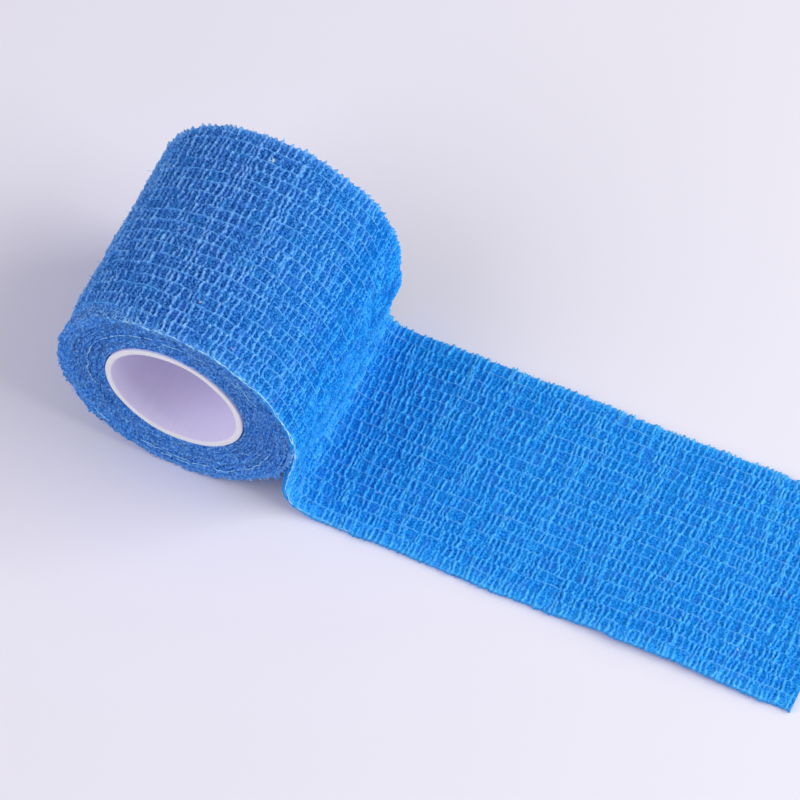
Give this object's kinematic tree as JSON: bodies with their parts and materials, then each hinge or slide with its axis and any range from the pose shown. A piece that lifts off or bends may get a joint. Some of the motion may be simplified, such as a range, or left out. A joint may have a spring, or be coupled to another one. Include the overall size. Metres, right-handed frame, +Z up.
{
  "type": "cohesive bandage roll",
  "caption": "Crinkled elastic self-adhering bandage wound on a plain plastic tube core, lying on its side with its loose end drawn out flat over the table.",
  "frame": {"origin": "on the table, under the roll's axis at mid-width, on the roll's small flat spot", "axes": "+X along the loose end, away from the roll; +Y along the roll's axis, from the near face to the far face; +Z up"},
  "size_m": [0.1648, 0.0514, 0.0531],
  "materials": {
    "crinkled_cloth": "matt, crinkled non-woven with elastic threads",
    "core_plastic": "satin, moulded white"
  },
  "bodies": {
    "root": {"bandage_strip": "crinkled_cloth", "core_tube": "core_plastic"}
  },
  "joints": []
}
